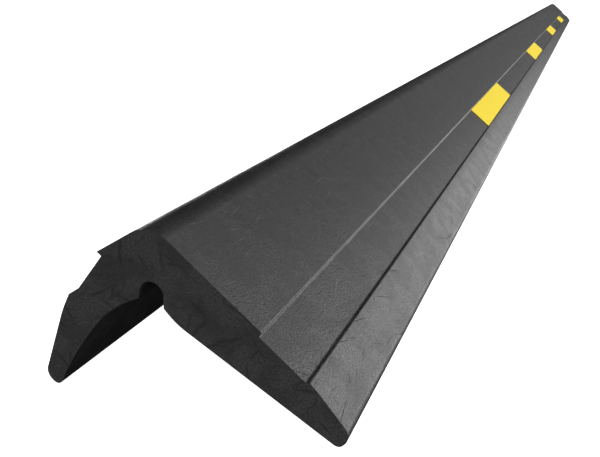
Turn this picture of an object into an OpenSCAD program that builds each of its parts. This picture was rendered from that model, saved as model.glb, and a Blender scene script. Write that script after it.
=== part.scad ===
// Rubber kerb buffer: an extruded solid-rubber edge profile with two unequal
// legs, which sits over the edge of a kerb or ramp and takes the wheel knocks.
// It stands on its two leg tips like a tent, nose up. +Z is up, the stock runs
// along Y, and the origin is on the floor under the middle of its bounding box.
//
// The section is drawn in the frame of the long leg: x runs down along that
// leg's seat, y points out of it, and [0, 0] is where the planes of the two
// legs' seats meet at a right angle. The short leg runs down along -y, and its
// outer side faces -x.

/* [Stock] */
// Length of the stock
length = 3000; // [1000:10:6000]
// Radius of the rounded nose between the legs
nose_r = 13; // [6:0.5:18]
// Rounding of the sharp outer edges
edge_r = 0.3; // [0.1:0.05:0.6]

/* [Long leg] */
// Seat corner to the start of the long leg's seat
long_seat_start = 62.2; // [52:0.1:75]
// Width of the long leg's seat
long_seat_w = 22.8; // [15:0.1:26]
// Height of the crest face above the long leg's seat
long_crest = 2.1; // [1:0.1:3]
// Lean of the crest's wall above the long leg's seat
long_lean = 4.5; // [0:0.5:15]
// Rounding of that wall's upper edge
wall_edge_r = 0.75; // [0.2:0.05:1]
// Rounding of that wall's foot
wall_foot_r = 0.65; // [0.2:0.05:1]
// Length of the steep ramp at the end of the long leg's seat
long_ramp = 0.5; // [0.2:0.1:3]
// Height of that ramp
long_step = 1.2; // [0.8:0.1:2]
// Rounding of that ramp's upper edge
ramp_edge_r = 0.9; // [0.2:0.1:1.5]
// Rounding of that ramp's foot
ramp_foot_r = 1; // [0.2:0.1:1.5]
// Length of the tapered lip beyond the ramp
long_lip = 24; // [18:0.5:35]
// Length of the lip's flatter root
long_root = 5; // [3:0.2:8]
// Fall of the lip's flatter root
long_root_fall = 7; // [3:0.5:9]
// Fall of the rest of the lip
long_lip_fall = 11; // [9:0.5:14]
// Taper of the long leg's inner face against its seat
long_taper = 9; // [6:0.5:11]
// Seat corner to the knee where the inner face turns up to the groove
long_knee = 37.7; // [34:0.5:44]
// Rounding of that knee
long_knee_r = 30; // [10:1:40]

/* [Short leg] */
// Seat corner to the start of the short leg's seat
short_seat_start = 24; // [18:0.5:28]
// Width of the short leg's seat
short_seat_w = 19.2; // [10:0.1:22]
// Height of the crest's lip above the short leg's seat
short_crest = 2.4; // [1:0.1:3]
// Lean of the short leg's crest face against its seat
crest_lean = 19.5; // [12:0.5:24]
// Length of the ramp at the end of the short leg's seat
short_ramp = 5.8; // [3:0.1:8]
// Height of that ramp
short_step = 1.8; // [1:0.1:3]
// Length of the tapered lip beyond the ramp
short_lip = 40.6; // [34:0.2:46]
// Length of the lip's flatter root
short_root = 8; // [4:0.5:12]
// Fall of the lip's flatter root
short_root_fall = 10; // [7:0.5:13]
// Fall of the rest of the lip
short_lip_fall = 17; // [15:0.5:19]
// Seat plane to the hollow of the leg's inner side
short_wall = 14.1; // [12:0.1:16]
// Flare of the inner side from the hollow to the tip
short_flare = 9.5; // [6:0.5:12]
// Rounding between the hollow and that flare
short_flare_r = 160; // [50:5:180]
// Seat corner to the shoulder where the inner side turns to the groove
short_shoulder = 39; // [36:0.5:42]
// Rounding of that shoulder
short_shoulder_r = 50; // [20:1:55]

/* [Lips, tips and groove] */
// Outer rounding of both leg tips
tip_outer_r = 5; // [3:0.25:6]
// Inner rounding of both leg tips, which the profile stands on
tip_inner_r = 2.8; // [1.5:0.1:4]
// Flat between the two roundings of a tip
tip_flat = 1; // [0.2:0.1:2]
// Rounding of both lips' outer sides between flatter root and rest
lip_bulge_r = 70; // [20:5:80]
// Radius of the bending groove in the inner corner
groove_r = 5; // [3.5:0.25:6]
// Seat plane of the short leg to the groove's centre
groove_x = 23.6; // [21:0.2:26]
// Seat plane of the long leg to the groove's centre
groove_y = 20.1; // [18.5:0.1:22]
// Angle below the long leg's seat at which the groove opens
groove_opens = 59; // [50:1:68]
// Flare of each wall of the groove
groove_flare = 6; // [2:0.5:9]

/* [Marker strips] */
// Length of a marker strip
marker_l = 205; // [50:5:300]
// Thickness of a marker strip
marker_t = 0.5; // [0.2:0.1:2]
// Gap between a marker strip and each side wall of the seat
marker_gap = 0.1; // [0.05:0.05:1]
// Pitch of the marker strips along the stock
marker_pitch = 652; // [320:1:750]
// Near end of the stock to the first marker strip
marker_first = 484; // [20:1:600]

/* [Hidden] */
// Height of a chord's middle under the arc that it stands for
arc_sag = 0.01;

marker_count = 1 + floor((length - marker_first - marker_l) / marker_pitch);
MARKERS = [for (i = [1:marker_count]) str("marker_strip_", i)];

// Long leg: ends of its seat and lip, and the corner between lip and tip
long_seat_end = long_seat_start + long_seat_w;
long_ramp_end = long_seat_end + long_ramp;
long_end = long_ramp_end + long_lip;
long_root_y = long_step - long_root * tan(long_root_fall);
long_tip_y = long_root_y - (long_lip - long_root) * tan(long_lip_fall);
// The tip's end face is as deep as its two roundings and its flat
long_foot_y = long_tip_y - tip_outer_r * tan(45 - long_lip_fall / 2) - tip_flat;
long_heel_y = long_foot_y - tip_inner_r * tan(45 - long_taper / 2);
long_knee_y = long_heel_y - (long_end - long_knee) * tan(long_taper);

// Short leg: the same, along -y
short_seat_end = short_seat_start + short_seat_w;
short_ramp_end = short_seat_end + short_ramp;
short_end = short_ramp_end + short_lip;
short_root_x = -short_step + short_root * tan(short_root_fall);
short_tip_x = short_root_x + (short_lip - short_root) * tan(short_lip_fall);
short_foot_x = short_tip_x + tip_outer_r * tan(45 - short_lip_fall / 2) + tip_flat;
short_heel_x = short_foot_x + tip_inner_r * tan(45 + short_flare / 2);
short_hollow_y = -short_end + (short_heel_x - short_wall) / tan(short_flare);

// Sharp nose corner, where the two crest faces would meet
nose_x = -short_crest + (short_seat_start + long_crest) * tan(crest_lean);

// Corners of the section, clockwise from the long leg's crest: [x, y, rounding]
CORNERS = [
    [long_seat_start - long_crest * tan(long_lean), long_crest, wall_edge_r],
    [long_seat_start, 0, wall_foot_r],
    [long_seat_end, 0, ramp_foot_r],
    [long_ramp_end, long_step, ramp_edge_r],
    [long_ramp_end + long_root, long_root_y, lip_bulge_r],
    [long_end, long_tip_y, tip_outer_r],
    [long_end, long_heel_y, tip_inner_r],
    [long_knee, long_knee_y, long_knee_r],
    [groove_x, -groove_y, 0],
    [short_wall, -short_shoulder, short_shoulder_r],
    [short_wall, short_hollow_y, short_flare_r],
    [short_heel_x, -short_end, tip_inner_r],
    [short_tip_x, -short_end, tip_outer_r],
    [short_root_x, -short_ramp_end - short_root, lip_bulge_r],
    [-short_step, -short_ramp_end, edge_r],
    [0, -short_seat_end, 0],
    [0, -short_seat_start, 0],
    [-short_crest, -short_seat_start, edge_r],
    [nose_x, long_crest, nose_r],
];

function unit(v) = v / norm(v);
function corner(i) = CORNERS[(i + len(CORNERS)) % len(CORNERS)];
function place(i) = [corner(i)[0], corner(i)[1]];
function half_angle(i) =
    acos(unit(place(i - 1) - place(i)) * unit(place(i + 1) - place(i))) / 2;

// Length that a corner's rounding takes from each side, and the share of it
// that the side from corner i to the next has room for
function reach(i) = corner(i)[2] / tan(half_angle(i));
function room(i) =
    let (side = norm(place(i + 1) - place(i)), wanted = reach(i) + reach(i + 1))
    side >= wanted ? 1 : side / wanted;
function radius(i) = corner(i)[2] * min(room(i - 1), room(i));

// Length of the seat that the rounding of corner i takes, and how much of it
// that rounding still fills at height h
function taken(i) = radius(i) / tan(half_angle(i));
function filled(i, h) =
    h >= radius(i) ? 0 : max(0, taken(i) - sqrt(h * (2 * radius(i) - h)));

// Corner i as the points of its rounding
function rounded(i) =
    let (r = radius(i))
    r == 0 ? [place(i)] :
    let (
        half = half_angle(i),
        back = unit(place(i - 1) - place(i)),
        ahead = unit(place(i + 1) - place(i)),
        centre = place(i) + unit(back + ahead) * r / sin(half),
        first = place(i) + back * r / tan(half) - centre,
        turn = sign(cross(back, ahead)) * (2 * half - 180),
        start = atan2(first[1], first[0]),
        steps = ceil(abs(turn) / (2 * acos(1 - arc_sag / r)))
    )
    [for (k = [0:steps]) let (a = start + turn * k / steps) centre + r * [cos(a), sin(a)]];

OUTLINE = [for (i = [0:len(CORNERS) - 1]) each rounded(i)];

// Turn that sets the inner roundings of both tips level, then the floor and the
// middle of the section as it stands
long_foot = [long_end - tip_inner_r, long_foot_y];
short_foot = [short_foot_x, -short_end + tip_inner_r];
stand = atan2(long_foot[1] - short_foot[1], long_foot[0] - short_foot[0]);
STANDING_X = [for (p = OUTLINE) p * [cos(stand), sin(stand)]];
STANDING_Y = [for (p = OUTLINE) p * [-sin(stand), cos(stand)]];
middle_x = (min(STANDING_X) + max(STANDING_X)) / 2;
floor_y = min(STANDING_Y);

// Extrudes a shape in the long leg's frame from y to y + l, as the stock stands
module along_stock(y, l) {
    translate([0, y + l, 0])
        rotate([90, 0, 0])
            linear_extrude(l)
                translate([-middle_x, -floor_y])
                    rotate(-stand)
                        children();
}

// Bending groove: a round channel whose walls flare to its mouth
module groove() {
    reach = groove_y;
    translate([groove_x, -groove_y])
        rotate(-groove_opens) {
            circle(r = groove_r, $fn = 48);
            polygon([
                groove_r * [sin(groove_flare), cos(groove_flare)],
                [reach, groove_r / cos(groove_flare) + reach * tan(groove_flare)],
                [reach, -groove_r / cos(groove_flare) - reach * tan(groove_flare)],
                groove_r * [sin(groove_flare), -cos(groove_flare)],
            ]);
        }
}

// The extruded rubber profile, in one piece
module rubber_profile() {
    color([0.16, 0.16, 0.165])
        along_stock(-length / 2, length)
            difference() {
                polygon(OUTLINE);
                groove();
            }
}

// One yellow marker strip, flat on the long leg's seat. Its lower edges are
// bevelled, clear of the roundings at both sides of the seat (corners 1 and 2).
module marker_strip(i) {
    start = long_seat_start + marker_gap;
    end = long_seat_end - marker_gap;
    color([0.96, 0.82, 0.18])
        along_stock(-length / 2 + marker_first + i * marker_pitch, marker_l)
            polygon([
                [start + taken(1), 0],
                [end - taken(2), 0],
                [end - filled(2, marker_t), marker_t],
                [start + filled(1, marker_t), marker_t],
            ]);
}

rubber_profile();
for (i = [0:marker_count - 1])
    marker_strip(i);
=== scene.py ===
import math

import bmesh
import bpy
from mathutils import Matrix, Vector


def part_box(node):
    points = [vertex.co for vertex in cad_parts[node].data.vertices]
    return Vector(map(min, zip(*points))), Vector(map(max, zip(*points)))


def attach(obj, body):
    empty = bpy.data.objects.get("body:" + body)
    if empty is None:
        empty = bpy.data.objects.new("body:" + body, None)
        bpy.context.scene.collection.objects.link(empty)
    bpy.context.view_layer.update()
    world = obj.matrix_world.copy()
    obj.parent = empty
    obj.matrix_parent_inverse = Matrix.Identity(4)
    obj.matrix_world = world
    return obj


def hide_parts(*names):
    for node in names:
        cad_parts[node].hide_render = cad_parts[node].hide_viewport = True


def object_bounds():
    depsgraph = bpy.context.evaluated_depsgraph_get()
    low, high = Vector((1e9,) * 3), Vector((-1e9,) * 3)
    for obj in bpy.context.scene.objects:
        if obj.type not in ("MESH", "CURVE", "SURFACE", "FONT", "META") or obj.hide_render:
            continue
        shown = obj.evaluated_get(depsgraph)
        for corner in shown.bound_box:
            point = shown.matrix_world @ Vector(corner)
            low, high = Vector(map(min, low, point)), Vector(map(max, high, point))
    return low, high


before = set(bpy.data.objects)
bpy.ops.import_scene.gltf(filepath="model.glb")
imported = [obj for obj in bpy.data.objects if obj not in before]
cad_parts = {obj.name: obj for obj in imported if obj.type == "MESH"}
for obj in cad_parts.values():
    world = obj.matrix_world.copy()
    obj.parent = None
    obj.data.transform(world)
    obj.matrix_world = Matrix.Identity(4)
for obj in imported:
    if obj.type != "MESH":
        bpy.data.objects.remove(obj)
cad_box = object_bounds()

MM = 0.001
PROFILE = "rubber_profile"
MARKERS = sorted(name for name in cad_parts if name.startswith("marker_strip"))

# Rounding of the cut ends' rims, and its steps
RIM_R = 0.12 * MM
RIM_STEPS = 3
# A turn of the outline sharper than SHARP_TURN is a true corner. So is one sharper than
# LEAST_TURN between two sides that are both longer than FLAT_LENGTH, as no chord of
# the rounded stretches is.
SHARP_TURN = math.radians(34)
FLAT_LENGTH = 4 * MM
LEAST_TURN = math.radians(4)
# Vertices of the CAD mesh that are closer than this count as one
WELD = 1e-6
# Least cosine of half a corner's turn that its draw-in at a rim is divided by
LEAST_COSINE = 0.5


# ---------------------------------------------------------------- geometry


def near_outline(node):
    """The section of a straight extrusion along Y, as (x, z) points in order."""
    bm = bmesh.new()
    bm.from_mesh(node.data)
    bmesh.ops.remove_doubles(bm, verts=bm.verts, dist=WELD)
    near = min(v.co.y for v in bm.verts)
    following = {}
    for face in bm.faces:
        is_cut_end = abs(face.normal.y) > 0.5
        if is_cut_end:
            continue
        for loop in face.loops:
            start = loop.vert
            end = loop.link_loop_next.vert
            if start.co.y < near + WELD and end.co.y < near + WELD:
                following[start.index] = end.index
    bm.verts.ensure_lookup_table()
    first = here = next(iter(following))
    outline = []
    while True:
        outline.append(Vector((bm.verts[here].co.x, bm.verts[here].co.z)))
        here = following[here]
        if here == first:
            break
    bm.free()
    return outline


def anticlockwise(outline):
    """Whether the outline runs anticlockwise, by the sign of its area."""
    return sum(outline[i - 1].cross(outline[i]) for i in range(len(outline))) > 0


def side_normals(outline):
    """Outward normal of each side of the outline, from point i to the next."""
    count = len(outline)
    normals = []
    for i in range(count):
        along = (outline[(i + 1) % count] - outline[i]).normalized()
        normals.append(Vector((along.y, -along.x)))
    return normals if anticlockwise(outline) else [-n for n in normals]


def corner_normals(outline):
    """For each point, the normals that the sides before and after it take there."""
    count = len(outline)
    sides = side_normals(outline)
    lengths = [(outline[(i + 1) % count] - outline[i]).length for i in range(count)]
    pairs = []
    for i in range(count):
        before = sides[i - 1]
        after = sides[i]
        turn = before.angle(after)
        flats = min(lengths[i - 1], lengths[i]) > FLAT_LENGTH
        if turn > SHARP_TURN or (flats and turn > LEAST_TURN):
            pairs.append((before, after))
        else:
            mean = (before * lengths[i - 1] + after * lengths[i]).normalized()
            pairs.append((mean, mean))
    return pairs


def extruded_mesh(name, outline, near, far):
    """The outline drawn out along Y, its cut ends' rims rounded, with smooth arcs."""
    count = len(outline)
    pairs = corner_normals(outline)
    inward = []
    for before, after in pairs:
        middle = (before + after).normalized()
        inward.append(-middle / max(middle.dot(after), LEAST_COSINE))
    # Stations along the stock: (y, how far the outline is drawn in, tilt of the
    # normal towards the cut end, which end)
    stations = []
    for k in range(RIM_STEPS + 1):
        tilt = math.pi / 2 * (1 - k / RIM_STEPS)
        drop = RIM_R * (1 - math.sin(tilt))
        inset = RIM_R * (1 - math.cos(tilt))
        stations.append((near + drop, inset, tilt, -1))
    stations += [(near + far - y, inset, tilt, 1) for y, inset, tilt, _ in reversed(stations)]

    points = []
    for y, inset, _, _ in stations:
        for p, pull in zip(outline, inward):
            q = p + pull * inset
            points.append((q.x, y, q.y))
    faces = []
    normals = []
    order = 1 if anticlockwise(outline) else -1

    def add(face, face_normals):
        faces.append(face[::order])
        normals.extend(face_normals[::order])

    near_cap = list(range(count))
    far_cap = [(len(stations) - 1) * count + i for i in reversed(range(count))]
    add(near_cap, [Vector((0, -1, 0))] * count)
    add(far_cap, [Vector((0, 1, 0))] * count)
    for s in range(len(stations) - 1):
        for i in range(count):
            j = (i + 1) % count
            face = []
            face_normals = []
            for station, point, side in ((s, i, 1), (s + 1, i, 1), (s + 1, j, 0), (s, j, 0)):
                face.append(station * count + point)
                _, _, tilt, end = stations[station]
                n = pairs[point][side]
                face_normals.append(
                    Vector((n.x * math.cos(tilt), end * math.sin(tilt), n.y * math.cos(tilt)))
                )
            add(face, face_normals)
    mesh = bpy.data.meshes.new(name)
    mesh.from_pydata(points, [], faces)
    mesh.validate()
    mesh.shade_smooth()
    mesh.normals_split_custom_set([n.normalized() for n in normals])
    return mesh


def rubber_stock():
    """The rubber profile in one piece, in place of its faceted CAD solid."""
    low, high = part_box(PROFILE)
    outline = near_outline(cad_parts[PROFILE])
    mesh = extruded_mesh("rubber_stock", outline, low.y, high.y)
    piece = bpy.data.objects.new("rubber_stock", mesh)
    bpy.context.scene.collection.objects.link(piece)
    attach(piece, "root")
    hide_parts(PROFILE)
    mesh.materials.append(rubber_material())


# --------------------------------------------------------------- materials


class Graph:
    """Short calls for building a material's nodes. Lengths in it are in millimetres."""

    def __init__(self, name):
        self.material = bpy.data.materials.new(name)
        self.material.use_nodes = True
        self.tree = self.material.node_tree
        self.shader = self.tree.nodes["Principled BSDF"]
        place = self.node("ShaderNodeTexCoord").outputs["Object"]
        self.mm = self.vector("SCALE", place, scale=1 / MM)
        self.normal = self.node("ShaderNodeNewGeometry").outputs["Normal"]

    def node(self, kind, settings=None, **inputs):
        """A new node, with an input's name written _ for each space."""
        made = self.tree.nodes.new(kind)
        for key, value in (settings or {}).items():
            setattr(made, key, value)
        for key, value in inputs.items():
            self.set(made.inputs[key.replace("_", " ")], value)
        return made

    def set(self, socket, value):
        if isinstance(value, bpy.types.NodeSocket):
            self.tree.links.new(value, socket)
        else:
            socket.default_value = value

    def math(self, operation, *values):
        made = self.node("ShaderNodeMath", {"operation": operation})
        for socket, value in zip(made.inputs, values):
            self.set(socket, value)
        return made.outputs["Value"]

    def times(self, product, *factors):
        for factor in factors:
            product = self.math("MULTIPLY", product, factor)
        return product

    def plus(self, value, mark, amount):
        """The value, and that amount more where the mark is 1."""
        return self.math("MULTIPLY_ADD", mark, amount, value)

    def vector(self, operation, *values, scale=None):
        made = self.node("ShaderNodeVectorMath", {"operation": operation})
        for socket, value in zip(made.inputs, values):
            self.set(socket, value)
        if scale is not None:
            self.set(made.inputs["Scale"], scale)
        return made.outputs["Value" if operation == "DOT_PRODUCT" else "Vector"]

    def ramp(self, value, start, end, low=0.0, high=1.0):
        """Goes smoothly from low to high as value goes from start to end."""
        made = self.node("ShaderNodeMapRange", {"interpolation_type": "SMOOTHSTEP"})
        for key, number in zip(("Value", "From Min", "From Max", "To Min", "To Max"),
                               (value, start, end, low, high)):
            self.set(made.inputs[key], number)
        return made.outputs["Result"]

    def noise(self, size, detail=2.0, roughness=0.5, at=(0, 0, 0)):
        """Noise with blobs of that size, shifted by at so that layers differ."""
        place = self.vector("MULTIPLY_ADD", self.mm, (1 / size,) * 3, at)
        made = self.node("ShaderNodeTexNoise", Vector=place, Scale=1.0, Detail=detail,
                         Roughness=roughness)
        return made.outputs["Fac"]

    def scratches(self, cell, width, share, bend, lay=(0, 0, 0), at=(0, 0, 0)):
        """Straight strokes on the surface, about a cell long. A share of the cells holds
        one, bend is how far noise pulls them out of line, and lay turns them its way."""
        place = self.vector("MULTIPLY_ADD", self.mm, (1 / cell,) * 3, at)
        waver = self.node("ShaderNodeTexNoise", Vector=place, Scale=1.6, Detail=1.0)
        place = self.vector("MULTIPLY_ADD", waver.outputs["Color"], (bend,) * 3, place)
        cells = self.node("ShaderNodeTexVoronoi", Vector=place, Scale=1.0)
        seed = self.vector("SUBTRACT", cells.outputs["Color"], (0.5, 0.5, 0.5))
        along = self.vector("ADD", seed, lay)
        across = self.vector("NORMALIZE", self.vector("CROSS_PRODUCT", along, self.normal))
        offset = self.vector("SUBTRACT", place, cells.outputs["Position"])
        off_line = self.math("ABSOLUTE", self.vector("DOT_PRODUCT", offset, across))
        stroke = self.ramp(off_line, 0.0, width / cell, 1.0, 0.0)
        ends = self.ramp(cells.outputs["Distance"], 0.25, 0.6, 1.0, 0.0)
        pick = self.node("ShaderNodeSeparateColor", Color=cells.outputs["Color"])
        held = self.ramp(pick.outputs["Blue"], 1 - share, 1 - share + 0.2)
        return self.times(stroke, ends, held)

    def grey(self, level):
        """Makes the surface that grey."""
        made = self.node("ShaderNodeCombineColor", Red=level, Green=level, Blue=level)
        self.set(self.shader.inputs["Base Color"], made.outputs["Color"])

    def bump(self, height):
        """Raises the surface by a height in millimetres."""
        made = self.node("ShaderNodeBump", Height=height, Distance=MM, Strength=1.0)
        self.set(self.shader.inputs["Normal"], made.outputs["Normal"])


# Grey of the rubber's sides and of its cut ends, and the least share of it that marks leave
SIDE_GREY = 0.022
CUT_GREY = 0.041
LEAST_TONE = 0.1
# Normal of the wall of the step beside the long leg's seat, the millimetres across the
# stock over which its painted highlight sets in, and how much paler that painted
# highlight makes it
WALL_NORMAL = (0.81, 0, -0.586)
WALL_X = (20, 30)
WALL_HIGHLIGHT = 0.13


def rubber_grain(g, from_middle):
    """The fine leathery grain, from -1 to 1, and the clouds that it fades in."""
    clouds = g.noise(15, detail=3, roughness=0.6)
    grain = g.noise(0.75, detail=1.5, roughness=0.6, at=(3, 7, 1))
    grain = g.ramp(grain, 0.3, 0.7, -1.0, 1.0)
    cloudy = g.ramp(clouds, 0.42, 0.56, 0.75, 1.0)
    off_crest = g.ramp(from_middle, 5, 40, 0.65, 1.0)
    return g.times(grain, cloudy, off_crest), clouds


def side_marks(g, from_middle, cut):
    """Dark scuffs and fine strokes that are lighter than the rubber round them. They run
    mostly along the stock and down towards the long leg's tip, on its sides alone."""
    deep = g.scratches(cell=15, width=0.3, share=0.7, bend=0.03, lay=(0.25, 0.8, -0.2))
    short = g.scratches(cell=8, width=0.25, share=0.6, bend=0.05, lay=(0.2, 0.5, -0.15),
                        at=(4, 9, 2))
    hair = g.scratches(cell=12, width=0.3, share=0.8, bend=0.02, lay=(0.1, 0.8, -0.1),
                       at=(9, 3, 7))
    # Both leg tips are scuffed more than the crest between them
    worn = g.ramp(g.ramp(from_middle, 28, 50), 0.0, 1.0, 0.25, 1.0)
    uncut = g.math("SUBTRACT", 1.0, cut)
    scuff = g.times(g.math("MAXIMUM", deep, g.times(short, 0.7)), worn, uncut)
    return scuff, g.times(hair, uncut)


def cut_marks(g, cut):
    """Broad soft creases and fine dark cracks, which run every way, on the cut ends."""
    crease = g.math(
        "MAXIMUM",
        g.scratches(cell=14, width=1.2, share=0.9, bend=0.15, at=(6, 1, 8)),
        g.scratches(cell=8, width=0.9, share=0.6, bend=0.1, at=(1, 5, 3)),
    )
    crack = g.math(
        "MAXIMUM",
        g.scratches(cell=9, width=0.3, share=0.8, bend=0.03, at=(2, 8, 6)),
        g.scratches(cell=13, width=0.4, share=0.7, bend=0.02, at=(7, 2, 9)),
    )
    return g.times(crease, cut), g.times(crack, cut)


def painted_wall_highlight(g, across):
    """The wall of the step beside the long leg's seat, made paler where it faces the light.
    That is a painted highlight, not the rubber's own colour. That it is paler is a guess,
    and keeps a dark line from splitting the light line along the crest's edge."""
    facing = g.vector("DOT_PRODUCT", g.normal, WALL_NORMAL)
    return g.times(g.ramp(facing, 0.8, 0.95), g.ramp(across, *WALL_X))


def rubber_material():
    """Black rubber with a leathery grain, clouded, creased and scuffed by scratches, and a
    painted highlight on the wall of the step beside the long leg's seat.
    """
    g = Graph("black_rubber")
    along = g.vector("DOT_PRODUCT", g.normal, (0, 1, 0))
    cut = g.ramp(g.math("ABSOLUTE", along), 0.5, 0.9)
    across = g.node("ShaderNodeSeparateXYZ", Vector=g.mm).outputs["X"]
    from_middle = g.math("ABSOLUTE", across)

    grain, clouds = rubber_grain(g, from_middle)
    blotch = g.ramp(g.noise(6, detail=2, roughness=0.55, at=(11, 2, 5)), 0.28, 0.45, 1.0, 0.0)
    scuff, hair = side_marks(g, from_middle, cut)
    crease, crack = cut_marks(g, cut)

    tone = g.plus(1.0, grain, g.ramp(cut, 0.0, 1.0, 1.0, 0.75))
    tone = g.times(tone, g.ramp(clouds, 0.4, 0.58, 0.75, 1.2))
    marks = ((hair, 1.5), (crack, -0.7), (blotch, -0.35), (scuff, -0.8), (crease, -0.75))
    for mark, amount in marks:
        tone = g.times(tone, g.plus(1.0, mark, amount))
    tone = g.math("MAXIMUM", tone, LEAST_TONE)
    level = g.times(tone, g.ramp(cut, 0.0, 1.0, SIDE_GREY, CUT_GREY))
    # Painted highlight: the step's wall is made paler where it faces the light
    g.grey(g.plus(level, painted_wall_highlight(g, across), WALL_HIGHLIGHT))

    rough = g.plus(0.4, grain, -0.06)
    rough = g.plus(rough, g.ramp(clouds, 0.4, 0.58), -0.08)
    rough = g.plus(rough, scuff, 0.35)
    g.set(g.shader.inputs["Roughness"], rough)

    height = g.times(grain, g.ramp(cut, 0.0, 1.0, 0.025, 0.013))
    for mark, rise in ((hair, 0.02), (crack, -0.05), (scuff, -0.07), (crease, -0.06)):
        height = g.plus(height, mark, rise)
    g.bump(height)
    return g.material


# The film's red, and its green and blue as shares of that
FILM_RED = 0.867
FILM_GREEN = 0.772
FILM_BLUE = 0.026


def marker_material():
    """Yellow marking film, faintly uneven where it has bedded into the grain."""
    g = Graph("yellow_film")
    grain = g.noise(0.8, detail=2, at=(2, 5, 9))
    red = g.plus(FILM_RED, grain, 0.04)
    colour = g.node("ShaderNodeCombineColor", Red=red, Green=g.times(red, FILM_GREEN),
                    Blue=g.times(red, FILM_BLUE))
    g.set(g.shader.inputs["Base Color"], colour.outputs["Color"])
    g.shader.inputs["Specular IOR Level"].default_value = 0.2
    g.set(g.shader.inputs["Roughness"], g.plus(0.5, grain, 0.15))
    g.bump(g.times(grain, 0.01))
    return g.material


def film_on_strips():
    """Gives the marker strips' own CAD solids their film."""
    film = marker_material()
    for name in MARKERS:
        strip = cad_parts[name]
        strip.data.materials.clear()
        strip.data.materials.append(film)


def plain_material(name, grey, glow):
    """An even grey that also shines white, as strongly as glow says."""
    material = bpy.data.materials.new(name)
    material.use_nodes = True
    shader = material.node_tree.nodes["Principled BSDF"]
    shader.inputs["Base Color"].default_value = (grey, grey, grey, 1)
    shader.inputs["Roughness"].default_value = 0.9
    shader.inputs["Emission Color"].default_value = (1, 1, 1, 1)
    shader.inputs["Emission Strength"].default_value = glow
    return material


# ------------------------------------------------------------------- stage

# Half the floor's side, and the dome's radius
STAGE_R = 60
# Grey of the floor and the dome, and how strongly they shine
PALE_GREY = 0.9
PALE_GLOW = 1.2
# Rays that a piece which only the camera sees is hidden from
LIGHT_RAYS = ("diffuse", "glossy", "transmission", "shadow")
# Depth of the shade below the floor
SHADE_DROP = 0.5 * MM
# Grey of the shade, and the faint light that it gives
SHADE_GREY = 0.02
SHADE_GLOW = 0.024


def staged(name, bm, material, hidden_from):
    """A piece of the stage, hidden from the kinds of rays that are named."""
    mesh = bpy.data.meshes.new(name)
    bm.to_mesh(mesh)
    bm.free()
    mesh.materials.append(material)
    piece = bpy.data.objects.new(name, mesh)
    bpy.context.scene.collection.objects.link(piece)
    for ray in hidden_from:
        setattr(piece, "visible_" + ray, False)


def floor():
    """The pale floor and a pale dome round it, which only the camera sees, and the shade
    that lies under the stock, which keeps the light from below out of its hollow."""
    pale = plain_material("pale_floor", PALE_GREY, PALE_GLOW)
    bm = bmesh.new()
    bmesh.ops.create_grid(bm, x_segments=1, y_segments=1, size=STAGE_R)
    staged("floor", bm, pale, LIGHT_RAYS)
    bm = bmesh.new()
    bmesh.ops.create_uvsphere(bm, u_segments=48, v_segments=24, radius=STAGE_R)
    staged("backdrop", bm, pale, LIGHT_RAYS)

    low, high = cad_box
    corners = [(low.x, low.y), (high.x, low.y), (high.x, high.y), (low.x, high.y)]
    bm = bmesh.new()
    bm.faces.new([bm.verts.new((x, y, low.z - SHADE_DROP)) for x, y in corners])
    staged("shade", bm, plain_material("shade", SHADE_GREY, SHADE_GLOW), ("camera",))


# The camera's lens in millimetres, its place across the stock, in front of the near end
# and above the floor, and its turns to the left, down and about its own line of sight.
# A separate program solved them from edges and corners measured in the photograph.
LENS = 41.16
CAMERA_X = 0.125778
CAMERA_BACK = 0.190333
CAMERA_Z = 0.151023
CAMERA_TURN = math.radians(22.0905)
CAMERA_DROP = math.radians(19.2256)
CAMERA_ROLL = math.radians(-1.217)


def camera():
    """The photograph's viewpoint: just past the near end, low, looking along the stock."""
    low, _ = cad_box
    data = bpy.data.cameras.new("camera")
    data.sensor_width = 36
    data.lens = LENS
    data.clip_start = 0.01
    data.clip_end = 200
    view = bpy.data.objects.new("camera", data)
    bpy.context.scene.collection.objects.link(view)
    view.matrix_world = (
        Matrix.Translation((CAMERA_X, low.y - CAMERA_BACK, CAMERA_Z))
        @ Matrix.Rotation(CAMERA_TURN, 4, "Z")
        @ Matrix.Rotation(math.pi / 2 - CAMERA_DROP, 4, "X")
        @ Matrix.Rotation(CAMERA_ROLL, 4, "Z")
    )
    bpy.context.scene.camera = view
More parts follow.
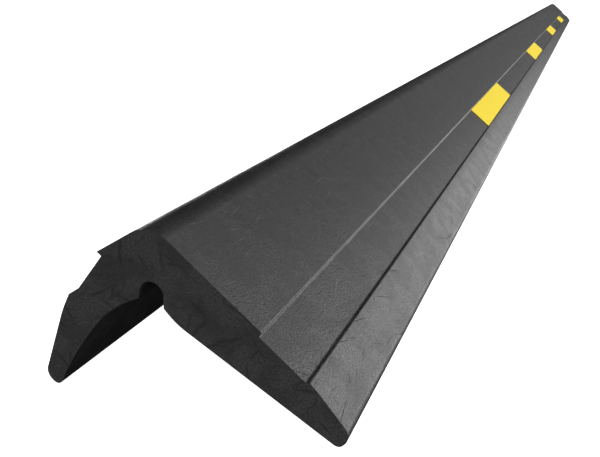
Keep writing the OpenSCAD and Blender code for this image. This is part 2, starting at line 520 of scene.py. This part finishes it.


# Panels of the studio: centre, the point that each one faces, width, height, radiance.
# Most of these numbers were not set by hand. A separate program fitted them to the
# brightness of the photograph: the places and sizes of side_panel, right_box, ahead_box
# and front_bounce, and the radiance of all but nose_panel, rim_panel and left_fill.
# They were then rounded, and some were changed a little.
PANELS = {
    "side_panel": ((0.78, -0.12, 0.34), (0, -0.12, 0.34), 4.55, 0.57, 1.49),
    "right_box": ((8.5, 5, 6.9), (0, 0, 0), 13.4, 26.5, 1.4),
    "rear_box": ((6.7, -3.9, 9.2), (0, 0, 0), 11, 11, 0.59),
    "upper_ahead": ((2, 9.3, 3.1), (0, 0, 0), 3.5, 1.4, 0.4),
    "nose_panel": ((-0.2, 8.8, 4.7), (0, 0, 0), 2.6, 2.6, 0.16),
    "horizon": ((-1, 9.9, 0.5), (0, 0, 0), 9.3, 1.8, 0.14),
    "ahead_box": ((5.3, 10.7, -1.7), (0, 0, 0), 8.7, 2.5, 1.8),
    "low_right": ((6, 3, -2), (0, 0, 0), 8, 3, 1.4),
    "rim_panel": ((-6.4, 7.6, -1), (0, 0, 0), 4.3, 1.8, 3),
    "front_bounce": ((-3.5, -9.8, -6), (0, 0, 0), 11.7, 23, 0.42),
    "left_fill": ((-10.6, 0, 5.6), (0, 0, 0), 14, 12, 1.1),
}
AMBIENT = 0.02


def panel(name, place, target, width, height, radiance):
    """A flat area light of even brightness, which the camera doesn't see."""
    data = bpy.data.lights.new(name, "AREA")
    data.shape = "RECTANGLE"
    data.size = width
    data.size_y = height
    data.energy = radiance * math.pi * width * height
    light = bpy.data.objects.new(name, data)
    bpy.context.scene.collection.objects.link(light)
    light.location = place
    light.rotation_mode = "QUATERNION"
    light.rotation_quaternion = (Vector(place) - Vector(target)).to_track_quat("Z", "Y")
    light.visible_camera = False


def studio():
    """The panels, and a faint even light from all round."""
    for name, numbers in PANELS.items():
        panel(name, *numbers)
    world = bpy.data.worlds.new("studio")
    world.use_nodes = True
    sky = world.node_tree.nodes["Background"]
    sky.inputs["Color"].default_value = (1, 1, 1, 1)
    sky.inputs["Strength"].default_value = AMBIENT
    bpy.context.scene.world = world


camera()
rubber_stock()
film_on_strips()
floor()
studio()
bpy.context.scene.view_settings.view_transform = "Standard"
